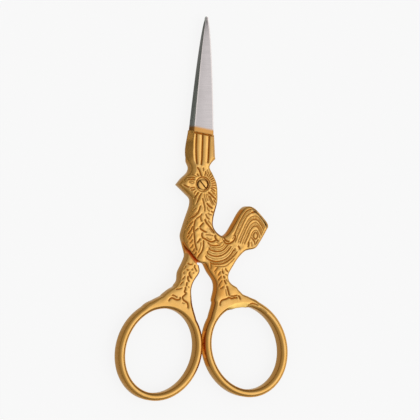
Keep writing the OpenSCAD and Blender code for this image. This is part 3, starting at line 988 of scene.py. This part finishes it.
def with_knots(loops, extra):
    """The loops with each extra point put in where it lies on them."""
    loops = list(loops)
    for point in extra:
        found = []
        for n, loop in enumerate(loops):
            gap, share = to_segments(point, loop, following(loop))
            i = int(np.argmin(gap))
            found.append((gap[i], n, i, share[i]))
        _, n, i, share = min(found)
        loop = loops[n].copy()
        j = (i + 1) % len(loop)
        length = lengths(loop[j] - loop[i])
        if share * length < KNOT_NEAR:
            loop[i] = point
        elif (1 - share) * length < KNOT_NEAR:
            loop[j] = point
        else:
            loop = np.insert(loop, i + 1, point, axis=0)
        loops[n] = loop
    return loops


def inner_points(face, edges, loops):
    """Points inside a face's loops: along its grooves, and a lattice that is clear of them."""
    spacing = face["spacing"]
    grid = clear_of_rows(lattice(loops, spacing), edges, GRID_CLEAR * spacing)
    if not face["grooves"]:
        return grid
    cuts = groove_rows(face["grooves"], edges, loops)
    return np.vstack([cuts, clear_of(grid, cuts, CLEAR_REACH)])


def half_mesh(name, full, step):
    """One gold half as a closed mesh: vertices, faces and the values that colour each vertex.

    full is the face that covers the whole outline, and step the one that ends at the lap. Each
    holds its height, side, slice, rounding rule, grooves, point spacing and hole; step also holds
    the lapped face's height and its end's rounding, and full the rings of its hole."""
    step_loops = outline(name, step["slice"])
    base = outline(name, full["slice"])
    chain_knots = step_chain(base, step_loops)
    loops = [curve(loop, EDGE_STEP, closed=True)
             for loop in with_knots(base, [chain_knots[0], chain_knots[-1]])]
    outer = np.vstack(loops)
    edge_count = len(outer)
    tips = [int(np.argmin(lengths(outer - knot))) for knot in chain_knots[[0, -1]]]
    chain = curve(chain_knots, EDGE_STEP)

    hole = circle(full["hole"])
    full_loops = loops + [hole]
    recess = RECESS_EDGE if full["hole"] > BORE_R else NO_EDGE
    full_edges = outline_edges(loops, full["rounding"]) + [even_edge(hole, True, recess)]
    inner = inner_points(full, full_edges, full_loops)
    full_points = np.vstack(full_loops + [inset_rows(full_edges), inner])
    full_corners = face_triangles(full_points, full_loops)
    full_height, full_cut = relief(full_points, full_edges, edge_count + len(hole), full)

    bore = circle(step["hole"])
    step_outer = loops + [bore]
    fixed = np.vstack(step_outer + [chain[1:-1]])
    chain_ids = [tips[0], *range(edge_count + len(bore), len(fixed)), tips[1]]
    walls = list(zip(chain_ids, chain_ids[1:]))
    step_edges = outline_edges(loops, step["rounding"]) + [even_edge(chain, False, step["end"])]
    rows = inset_rows(step_edges)
    rows = rows[distance_to(rows, step_loops) > OFF_LOOP]
    rows = rows[inside(rows, step_loops)]
    inner = inner_points(step, step_edges, step_loops)
    coarse = lattice(step_outer, LAP_STEP)
    coarse = coarse[~inside(coarse, step_loops)]
    coarse = coarse[nearest(coarse, step_edges)[0] > LAP_CLEAR]
    step_points = np.vstack([fixed, rows, inner, coarse])
    step_corners = face_triangles(step_points, step_outer, walls)
    count = (tips[0] - tips[1]) % len(loops[0])
    way_back = np.roll(loops[0], -tips[1], axis=0)[1:count]
    flags = inside(step_points[step_corners].mean(axis=1), [np.vstack([chain, way_back])])
    step_height, step_cut = relief(step_points, step_edges, len(fixed), step)

    vertices = list(np.column_stack([full_points, full_height]))
    depth = list(full_cut)
    faces = [tuple(t) for t in full_corners]
    copies = {}

    def step_vertex(index, flag):
        key = (index, flag)
        if key not in copies:
            copies[key] = len(vertices)
            height = step_height[index] if flag else step["lap"]
            vertices.append(np.append(step_points[index], height))
            depth.append(step_cut[index] if flag else 0)
        return copies[key]

    side_flag = {}
    for flag, corners in zip(flags, step_corners):
        ids = [int(i) for i in corners]
        faces.append(tuple(step_vertex(i, flag) for i in ids))
        for i, j in zip(ids, ids[1:] + ids[:1]):
            side_flag[(min(i, j), max(i, j))] = flag
    for i, j in loop_pairs(loops):
        flag = side_flag[(min(i, j), max(i, j))]
        wall = [i, j, step_vertex(j, flag), step_vertex(i, flag)]
        if flag and j in tips:
            wall.insert(2, step_vertex(j, 0))
        if flag and i in tips:
            wall.append(step_vertex(i, 0))
        faces.append(tuple(wall))
    for i, j in walls:
        faces.append((step_vertex(i, 0), step_vertex(j, 0), step_vertex(j, 1), step_vertex(i, 1)))

    ring = [edge_count + i for i in range(len(hole))]
    for radius, height in full["hole_rings"]:
        lower = [len(vertices) + i for i in range(CIRCLE_STEPS)]
        vertices += [np.array([x, y, height]) for x, y in circle(radius)]
        depth += [0] * CIRCLE_STEPS
        faces += join_rings(ring, lower)
        ring = lower
    faces += join_rings(ring, [step_vertex(edge_count + i, 0) for i in range(len(bore))])

    vertices = np.array(vertices)
    flat = vertices[:, :2].copy()
    marks = {title: near_lines(flat, *lines) for title, lines in MARKS.items()}
    marks["cut"] = np.array(depth)
    for place, move, reach in CLAW_SHIFTS:
        away = np.sum((flat - place) ** 2, axis=1)
        vertices[:, :2] += np.exp(-away / reach ** 2)[:, None] * np.array(move)
    low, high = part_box(name)
    return np.clip(vertices, np.array(low) / MM, np.array(high) / MM), faces, marks


def join_rings(upper, lower):
    """Faces between two closed rows of vertices."""
    n = len(upper)
    return [(upper[i], upper[(i + 1) % n], lower[(i + 1) % n], lower[i]) for i in range(n)]


def shade_smooth(mesh, sharp):
    """Smooth shading, with sharp edges where the faces meet at more than the angle in degrees."""
    mesh.polygons.foreach_set("use_smooth", [True] * len(mesh.polygons))
    mesh.set_sharp_from_angle(angle=math.radians(sharp))


def add_object(name, data):
    """An object in the scene that holds the data."""
    thing = bpy.data.objects.new(name, data)
    bpy.context.scene.collection.objects.link(thing)
    return thing


def make_piece(name, vertices, faces, values=None, sharp=38):
    """A mesh object with outward normals, from points in mm and values for the vertices."""
    mesh = bpy.data.meshes.new(name)
    mesh.from_pydata([tuple(v) for v in np.asarray(vertices) * MM], [], faces)
    for title, numbers in (values or {}).items():
        layer = mesh.attributes.new(title, "FLOAT", "POINT")
        layer.data.foreach_set("value", np.asarray(numbers, dtype=np.float32))
    work = bmesh.new()
    work.from_mesh(mesh)
    bmesh.ops.recalc_face_normals(work, faces=work.faces)
    work.to_mesh(mesh)
    work.free()
    shade_smooth(mesh, sharp)
    return add_object(name, mesh)


def dress(piece, material, body, node):
    """Gives a piece its material, ties it to the body, and hides the node that it stands for."""
    piece.data.materials.clear()
    piece.data.materials.append(material)
    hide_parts(node)
    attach(piece, body)


class Tree:
    """Adds shader nodes to a material or a world."""

    def __init__(self, owner, coordinates="Object"):
        owner.use_nodes = True
        self.nodes, self.links = owner.node_tree.nodes, owner.node_tree.links
        self.place = self.node("TexCoord").outputs[coordinates]

    def node(self, kind, inputs=None, **settings):
        """A new node; each input is a value or the output of another node."""
        node = self.nodes.new("ShaderNode" + kind)
        for name, value in settings.items():
            setattr(node, name, value)
        self.fill(node, inputs or {})
        return node

    def fill(self, node, inputs):
        """Sets or links a node's inputs."""
        for key, value in inputs.items():
            if isinstance(value, bpy.types.NodeSocket):
                self.links.new(value, node.inputs[key])
            else:
                node.inputs[key].default_value = value

    def mix(self, first, second, factor):
        """A colour mixed from two."""
        return self.node("Mix", {6: first, 7: second, 0: factor}, data_type="RGBA").outputs[2]

    def maths(self, operation, *values):
        """The result of a sum, product or other operation."""
        return self.node("Math", dict(enumerate(values)), operation=operation).outputs[0]

    def scaled(self, value, low, high, start=0, end=1):
        """A value that runs from start at low to end at high, and stays there beyond them."""
        return self.node("MapRange", {0: value, 1: low, 2: high, 3: start, 4: end}).outputs[0]

    def axis(self, vector, name):
        """One axis of a vector."""
        return self.node("SeparateXYZ", {0: vector}).outputs[name]

    def height(self, low, high, start=0, end=1):
        """A value that runs from start to end between two heights in mm."""
        return self.scaled(self.axis(self.place, "Z"), low * MM, high * MM, start, end)

    def steep(self, low, high):
        """1 on walls and 0 on faces, between two values of the normal's share along z."""
        normal = self.node("NewGeometry").outputs["Normal"]
        return self.scaled(self.maths("ABSOLUTE", self.axis(normal, "Z")), low, high, 1, 0)

    def mark(self, name):
        """A value that the mesh holds for each vertex."""
        return self.node("Attribute", attribute_name=name).outputs["Fac"]

    def noise(self, scale, detail=3, stretch=None):
        """Noise over the piece's own coordinates."""
        place = self.place
        if stretch:
            place = self.node("Mapping", {"Vector": place, "Scale": stretch}).outputs[0]
        return self.node("TexNoise", {"Vector": place, "Scale": scale, "Detail": detail}).outputs[0]

    def bump(self, height, distance):
        """A bumped normal."""
        return self.node("Bump", {"Height": height, "Distance": distance}).outputs[0]

    def metal(self, colour, roughness, normal, **others):
        """The surface of a metal."""
        self.fill(self.nodes["Principled BSDF"], {
            "Base Color": colour, "Roughness": roughness, "Normal": normal, "Metallic": 1, **others})


def gold_material():
    """Gold plating over cast steel, darker in the engraved lines and paler where it is rubbed; shade
    and reflection are painted on.
    """
    material = bpy.data.materials.new("gold_plate")
    tree = Tree(material)
    cloud = tree.noise(GOLD_CLOUDS)
    cut = tree.mark("cut")
    plate = tree.mix(GOLD, GOLD_PALE, tree.scaled(cloud, *GOLD_WORN))
    # Painted shade and painted reflection make the chest and the right leg's left side redder
    plate = tree.mix(plate, GOLD_WARM_SHADE, tree.mark("warm_shade"))
    # Slopes get a darker, redder gold as painted shade
    plate = tree.mix(plate, GOLD_SLOPE_SHADE, tree.steep(*SLOPE_SHADE_STEEP))
    # The wall colour darkens towards the floor as painted contact shade
    side = tree.mix(GOLD_WALL_SHADE, GOLD_CONTACT_SHADE, tree.height(*CONTACT_SHADE_Z, 0.8, 0))
    # Steep walls take that darker colour as painted shade
    plate = tree.mix(plate, side, tree.steep(*WALL_SHADE_STEEP))
    over = tree.height(*GAP_LOW_Z)
    # Painted reflection of gold in the gaps between parts, redder where the mark is strong
    gap_reflection = tree.maths("MULTIPLY", tree.mark("gap"), tree.height(*GAP_REFLECTION_Z, 1, 0))
    gap_reflection = tree.maths("MULTIPLY", gap_reflection, over)
    plate = tree.mix(plate, GOLD_GAP_REFLECTION, gap_reflection)
    plate = tree.mix(plate, GOLD_GAP_REFLECTION_DEEP, tree.scaled(gap_reflection, *GAP_REFLECTION_DEEP))
    rubbed = tree.maths("MULTIPLY", tree.mark("rubbed"), tree.height(*RUBBED_Z))
    plate = tree.mix(plate, GOLD_RUBBED, rubbed)
    # Painted dark reflection on the tail's right edge, and darker gold inside the right ring
    darkened = tree.maths("MULTIPLY", tree.mark("darkened"), over)
    plate = tree.mix(plate, GOLD_DARKENED, darkened)
    plate = tree.mix(plate, GOLD_DEEP, tree.scaled(cut, *CUT_DARK))
    rough = tree.maths("ADD", tree.scaled(cloud, *GOLD_ROUGH), tree.scaled(cut, *CUT_ROUGH))
    grain = tree.bump(tree.noise(GOLD_GRAIN, 4), GOLD_BUMP)
    # In the gaps the edge tint is a painted reflection too
    tree.metal(plate, rough, grain, **{"Specular Tint": tree.mix(GOLD_RIM, GAP_REFLECTION_RIM, gap_reflection)})
    return material


def blade_material():
    """Ground steel with fine lines across the blade, plated like the collar at its foot, with
    painted shade on steep facets and a painted highlight on the ridge.
    """
    material = bpy.data.materials.new("blade_steel")
    tree = Tree(material)
    lines = tree.noise(STEEL_LINES, 5, STEEL_STRETCH)
    cloud = tree.noise(STEEL_CLOUDS)
    steel = tree.mix(STEEL_DARK, STEEL, tree.scaled(lines, *STEEL_WORN))
    # Steep facets of the blade are painted darker as painted shade
    steel = tree.mix(steel, STEEL_FACET_SHADE, tree.steep(*BLADE_SHADE_STEEP))
    # The flat strip on the ridge is a painted highlight
    steel = tree.mix(STEEL_RIDGE_HIGHLIGHT, steel, tree.steep(*RIDGE_HIGHLIGHT_STEEP))
    # The plated foot's steep sides take the wall's painted shade
    gold = tree.mix(GOLD_BLADE_FOOT, GOLD_WALL_SHADE, tree.steep(*BLADE_SHADE_STEEP))
    edge = tree.maths("MULTIPLY_ADD", tree.axis(tree.place, "X"), PLATED_SLANT,
                      tree.axis(tree.place, "Y"))
    edge = tree.maths("MULTIPLY_ADD", cloud, PLATED_WANDER * MM, edge)
    low, high = PLATED_Y
    plated = tree.scaled(edge, low * MM, high * MM, 1, 0)
    tree.metal(tree.mix(steel, gold, plated), tree.scaled(cloud, *STEEL_ROUGH),
               tree.bump(lines, STEEL_BUMP), Anisotropic=STEEL_SHEEN)
    return material


def screw_material():
    """Gold-plated screw with turned rings on its face, and painted shade in its slot."""
    material = bpy.data.materials.new("gold_screw")
    tree = Tree(material)
    cloud = tree.noise(SCREW_CLOUDS)
    rings = tree.node("TexWave", {"Vector": tree.place, "Scale": SCREW_RINGS, "Distortion": 1.5},
                      wave_type="RINGS", rings_direction="Z")
    plate = tree.mix(GOLD, GOLD_PALE, tree.scaled(cloud, *SCREW_WORN))
    # Painted shade inside the slot
    slot_shade_mask = tree.maths("MULTIPLY", tree.height(SLOT_SHADE_Z, SLOT_SHADE_Z + 0.1, 1, 0),
                         tree.height(HEAD_UNDER_Z - 0.1, HEAD_UNDER_Z))
    tree.metal(tree.mix(plate, SLOT_SHADE, slot_shade_mask), tree.scaled(cloud, *SCREW_ROUGH),
               tree.bump(rings.outputs["Fac"], SCREW_BUMP), **{"Specular Tint": GOLD_RIM})
    return material


def blade_section(share, side):
    """Points of a blade's cross-section, as x and height above its flat face."""
    left_over = max(1 - share, 0)
    width = max(TIP_W, BLADE_W * left_over ** WIDTH_POWER)
    from_tip = min(left_over * (BLADE_TIP_Y - BLADE_FOOT_Y) / TIP_ROUND, 1)
    width *= max(math.sqrt(1 - (1 - from_tip) ** 2), TIP_BLUNT)
    facet = min(width / 2, FACET_W * left_over ** FACET_POWER)
    thick = TIP_T + (BLADE_T - TIP_T) * left_over
    flat = min(RIDGE_FLAT, 0.25 * facet)
    start = TIP_X * share - side * width / 2 + (REVEAL if side < 0 else 0)
    hollow = HOLLOW * left_over
    across = [0, 0, 0.5 * facet, facet - flat / 2, facet + flat / 2]
    height = [SUNK, 0.1 * thick, 0.56 * thick, thick - 0.02, thick - 0.005]
    for part in (0.3, 0.55, 0.8):
        across.append(facet + (width - facet) * part)
        height.append(thick + (EDGE_T - thick) * part - hollow * math.sin(math.pi * part))
    across += [width, width]
    height += [EDGE_T, SUNK]
    return [(start + side * a, h) for a, h in zip(across, height)]


def make_blade(name, side):
    """A blade lofted from its foot in the collar to the tip; side is -1 for the rear one."""
    stations = [(0, BLADE_ROOT_Y)]
    for k in range(BLADE_STEPS + 1):
        share = 1 - (1 - k / BLADE_STEPS) ** STATION_POWER
        stations.append((share, BLADE_FOOT_Y + share * (BLADE_TIP_Y - BLADE_FOOT_Y)))
    base_z = LAP_FRONT_Z if side > 0 else LAP_BACK_Z
    vertices, faces, ring = [], [], None
    for share, y in stations:
        section = blade_section(share, side)
        row = [len(vertices) + i for i in range(len(section))]
        vertices += [(x, y, base_z + side * h) for x, h in section]
        faces += join_rings(ring, row) if ring else [tuple(row)]
        ring = row
    faces.append(tuple(ring))
    return make_piece(name, vertices, faces, sharp=12)


def make_screw():
    """The screw: a bevelled head with its slot, and the shank behind it."""
    profile = [(SHANK_R - 0.12, 0), (SHANK_R, 0.12), (SHANK_R, HEAD_UNDER_Z),
               (HEAD_R - 0.06, HEAD_UNDER_Z), (HEAD_R, HEAD_UNDER_Z + 0.06)]
    profile += [(HEAD_R - inset, HEAD_FACE_Z - below) for inset, below in HEAD_BEVEL]
    vertices, faces, ring = [(0, 0, 0)], [], None
    for radius, z in profile:
        row = [len(vertices) + i for i in range(CIRCLE_STEPS)]
        vertices += [(x, -y, z) for x, y in circle(radius)]
        faces += join_rings(ring, row) if ring else fan(0, row)
        ring = row
    vertices.append((0, 0, HEAD_FACE_Z))
    faces += fan(len(vertices) - 1, ring)
    screw = make_piece("screw_detail", vertices, faces)
    cutter = bpy.data.meshes.new("slot_cutter")
    block = bmesh.new()
    bmesh.ops.create_cube(block, size=1)
    block.to_mesh(cutter)
    block.free()
    cutter.transform(Matrix.Diagonal((4 * HEAD_R * MM, SLOT_W * MM, 2 * SLOT_DEPTH * MM, 1)))
    cutter.transform(Matrix.Rotation(math.radians(SLOT_ANGLE), 4, "Z"))
    cutter.transform(Matrix.Translation((0, 0, HEAD_FACE_Z * MM)))
    tool = add_object("slot_cutter", cutter)
    cut = screw.modifiers.new("slot", "BOOLEAN")
    cut.object, cut.operation, cut.solver = tool, "DIFFERENCE", "EXACT"
    graph = bpy.context.evaluated_depsgraph_get()
    shaped = bpy.data.meshes.new_from_object(screw.evaluated_get(graph))
    screw.modifiers.clear()
    screw.data = shaped
    bpy.data.objects.remove(tool)
    shade_smooth(shaped, 30)
    return screw


def fan(tip, row):
    """Faces from one vertex to a closed row of them."""
    return [(tip, row[i], row[(i + 1) % len(row)]) for i in range(len(row))]


def make_camera():
    """The camera, above the scissors and a little to the beak's side."""
    lens = bpy.data.cameras.new("camera")
    lens.sensor_width = SENSOR
    lens.lens = SENSOR * CAMERA_DISTANCE / VIEW_WIDTH
    lens.clip_start, lens.clip_end = 0.01, 10
    back = Vector((-math.sin(CAMERA_YAW), 0, math.cos(CAMERA_YAW)))
    right = Vector((math.cos(CAMERA_YAW), 0, math.sin(CAMERA_YAW)))
    turn = Matrix((right, Vector((0, 1, 0)), back)).transposed()
    camera = add_object("camera", lens)
    camera.matrix_world = Matrix.Translation(CAMERA_TARGET + CAMERA_DISTANCE * back) @ turn.to_4x4()
    bpy.context.scene.camera = camera


def make_floor():
    """A plain pale floor that the scissors lie on."""
    half = FLOOR_SIZE / 2
    mesh = bpy.data.meshes.new("floor")
    corners = [(-half, -half, FLOOR_Z), (half, -half, FLOOR_Z), (half, half, FLOOR_Z),
               (-half, half, FLOOR_Z)]
    mesh.from_pydata(corners, [], [(0, 1, 2, 3)])
    material = bpy.data.materials.new("floor")
    tree = Tree(material)
    shader = tree.nodes["Principled BSDF"]
    tree.fill(shader, {"Base Color": FLOOR_COLOUR, "Roughness": 1, "Specular IOR Level": 0})
    path = tree.node("LightPath").outputs
    seen = tree.maths("MAXIMUM", path["Is Camera Ray"], path["Is Glossy Ray"])
    seen = tree.maths("MAXIMUM", seen, path["Is Transmission Ray"])
    white = tree.node("Emission", {"Strength": 1})
    mix = tree.node("MixShader", {0: tree.maths("MULTIPLY", seen, FLOOR_WHITE),
                                  1: shader.outputs[0], 2: white.outputs[0]})
    tree.fill(tree.nodes["Material Output"], {"Surface": mix.outputs[0]})
    mesh.materials.append(material)
    floor = add_object("floor", mesh)


def make_light():
    """A soft sky that is brightest overhead, a little to the tail's side."""
    world = bpy.data.worlds.new("studio")
    tree = Tree(world, "Generated")
    facing = tree.node("VectorMath", {0: tree.place, 1: Vector(SKY_AXIS).normalized()},
                       operation="DOT_PRODUCT").outputs["Value"]
    ramp = tree.node("ValToRGB", {0: tree.scaled(facing, -1, 1)})
    while len(ramp.color_ramp.elements) < len(SKY_LEVELS):
        ramp.color_ramp.elements.new(0.5)
    brightest = SKY_LEVELS[-1][1]
    for element, (spot, level) in zip(ramp.color_ramp.elements, SKY_LEVELS):
        element.position = spot
        element.color = (level / brightest,) * 3 + (1,)
    low, high, dim = SKY_HORIZON
    rise = tree.scaled(tree.axis(tree.place, "Z"), low, high, dim * brightest, brightest)
    tree.fill(tree.nodes["Background"], {"Color": ramp.outputs[0], "Strength": rise})
    bpy.context.scene.world = world


make_camera()
make_floor()
make_light()
bpy.context.scene.view_settings.view_transform = "Standard"

gold = gold_material()
steel = blade_material()
front_parts = half_mesh(
    "front_half",
    full={"height": FACE_Z, "side": 1, "slice": FRONT_SLICE_Z, "rounding": front_rounding,
          "grooves": front_grooves(), "spacing": RELIEF_STEP, "hole": RECESS_R,
          "hole_rings": [(RECESS_R, SEAT_Z), (BORE_R, SEAT_Z)]},
    step={"height": 0, "side": -1, "slice": REAR_SLICE_Z, "rounding": rear_rounding, "grooves": [],
          "spacing": PLAIN_STEP, "hole": BORE_R, "lap": LAP_FRONT_Z, "end": STEP_EDGE},
)
back_parts = half_mesh(
    "back_half",
    full={"height": 0, "side": -1, "slice": REAR_SLICE_Z, "rounding": rear_rounding,
          "grooves": [(FLUTE, points) for points in FLUTES], "spacing": PLAIN_STEP,
          "hole": SHANK_R, "hole_rings": []},
    step={"height": FACE_Z, "side": 1, "slice": FRONT_SLICE_Z, "rounding": front_rounding,
          "grooves": LEFT_LEG_LINES, "spacing": RELIEF_STEP, "hole": SHANK_R, "lap": LAP_BACK_Z,
          "end": LEG_END_EDGE},
)
front_gold = make_piece("front_gold", *front_parts)
dress(front_gold, gold, "front", "front_half")
back_gold = make_piece("back_gold", *back_parts)
dress(back_gold, gold, "back", "back_half")
dress(make_blade("front_blade", 1), steel, "front", "front_half")
dress(make_blade("back_blade", -1), steel, "back", "back_half")
dress(make_screw(), screw_material(), "back", "pivot_screw")

bpy.context.view_layer.update()
